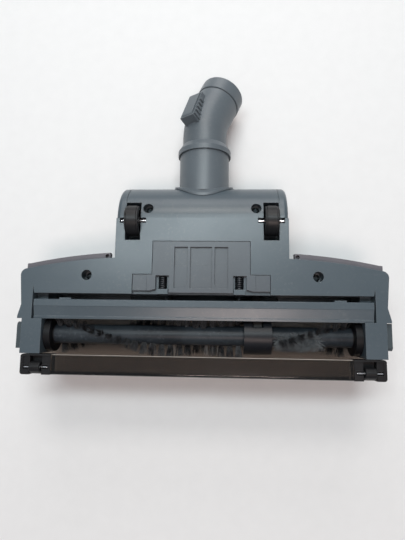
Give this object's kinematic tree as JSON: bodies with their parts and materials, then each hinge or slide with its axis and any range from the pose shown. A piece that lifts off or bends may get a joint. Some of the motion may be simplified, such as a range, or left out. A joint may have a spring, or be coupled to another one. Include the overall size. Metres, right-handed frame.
{
  "type": "vacuum turbo brush",
  "caption": "Air-driven floor head for a vacuum cleaner, sole up: bristle roll in a wide mouth, smoked front window, sliding latch, wheels at front and rear, tilting neck with a swivel elbow.",
  "frame": {"origin": "middle of the bounding box, on the plane that the crown lies on", "axes": "+X along the brush roll, +Y towards the neck, +Z out of the sole, which faces up as pictured"},
  "size_m": [0.2736, 0.2478, 0.0711],
  "materials": {
    "housing_plastic": "satin fine-grained moulding",
    "latch_plastic": "satin moulding",
    "trim_plastic": "satin strip",
    "neck_plastic": "smooth satin",
    "smoked_window": "smoked clear plastic",
    "black_plastic": "black",
    "roll_plastic": "glossy black",
    "cap_plastic": "dark teal grey",
    "bristle": "black bristle",
    "belt_rubber": "black rubber",
    "rotor_plastic": "natural moulding",
    "steel": "bright steel",
    "bearing_metal": "sintered bronze"
  },
  "bodies": {
    "housing": {"bearing_cap_left": "cap_plastic", "bearing_cap_right": "cap_plastic", "belt_guard": "roll_plastic", "bottom_housing": "housing_plastic", "drive_belt": "belt_rubber", "front_pin_left": "steel", "front_pin_right": "steel", "front_wheel_carrier_left": "black_plastic", "front_wheel_carrier_right": "black_plastic", "front_window": "smoked_window", "housing_screws": "steel", "latch_spring_left": "steel", "latch_spring_right": "steel", "mouth_beam": "housing_plastic", "rear_pin_left": "steel", "rear_pin_right": "steel", "roll_bearing_left": "roll_plastic", "roll_bearing_right": "roll_plastic", "top_cover": "housing_plastic", "trim_left": "trim_plastic", "trim_right": "trim_plastic", "turbine_bearing_left": "bearing_metal", "turbine_bearing_right": "bearing_metal"},
    "roll": {"brush_roll": "roll_plastic", "bristle_tufts": "bristle"},
    "turbine": {"turbine_rotor": "rotor_plastic", "turbine_shaft": "steel"},
    "rear_wheel_left": {"rear_wheel_left": "black_plastic"},
    "rear_wheel_right": {"rear_wheel_right": "black_plastic"},
    "front_wheel_left": {"front_wheel_left": "black_plastic"},
    "front_wheel_right": {"front_wheel_right": "black_plastic"},
    "latch": {"latch_plate": "latch_plastic"},
    "neck": {"neck": "neck_plastic"},
    "elbow": {"swivel_collar": "neck_plastic", "elbow_pipe": "neck_plastic", "button_spring": "steel"},
    "button": {"release_button": "neck_plastic"}
  },
  "joints": [
    {"name": "roll_spin", "type": "hinge", "parent": "housing", "child": "roll", "pos_m": [0, -0.09458, 0.046], "axis": [1, 0, 0], "continuous": true},
    {"name": "turbine_spin", "type": "hinge", "parent": "housing", "child": "turbine", "pos_m": [0, -0.04707, 0.031], "axis": [1, 0, 0], "continuous": true},
    {"name": "rear_wheel_left_spin", "type": "hinge", "parent": "housing", "child": "rear_wheel_left", "pos_m": [-0.05175, -0.00918, 0.0596], "axis": [1, 0, 0], "continuous": true},
    {"name": "rear_wheel_right_spin", "type": "hinge", "parent": "housing", "child": "rear_wheel_right", "pos_m": [0.05175, -0.00918, 0.0596], "axis": [1, 0, 0], "continuous": true},
    {"name": "front_wheel_left_spin", "type": "hinge", "parent": "housing", "child": "front_wheel_left", "pos_m": [-0.1194, -0.11857, 0.0607], "axis": [1, 0, 0], "continuous": true},
    {"name": "front_wheel_right_spin", "type": "hinge", "parent": "housing", "child": "front_wheel_right", "pos_m": [0.1194, -0.11857, 0.0607], "axis": [1, 0, 0], "continuous": true},
    {"name": "latch_slide", "type": "slide", "parent": "housing", "child": "latch", "axis": [0, -1, 0], "range_m": [0, 0.004], "stiffness_N_per_m": 400, "springref_m": -0.002, "deforming": ["latch_spring_left", "latch_spring_right"]},
    {"name": "neck_tilt", "type": "hinge", "parent": "housing", "child": "neck", "pos_m": [0, -0.00758, 0.031], "axis": [-1, 0, 0], "range_deg": [-6, 55]},
    {"name": "elbow_swivel", "type": "hinge", "parent": "neck", "child": "elbow", "pos_m": [0, 0.05142, 0.031], "axis": [0, 1, 0], "continuous": true},
    {"name": "button_press", "type": "slide", "parent": "elbow", "child": "button", "axis": [0.5198, -0.4226, -0.7424], "range_m": [0, 0.0012], "stiffness_N_per_m": 300, "springref_m": -0.002, "deforming": ["button_spring"]}
  ],
  "couplings": [
    {"joint": "turbine_spin", "follows": "roll_spin", "ratio": 2}
  ]
}
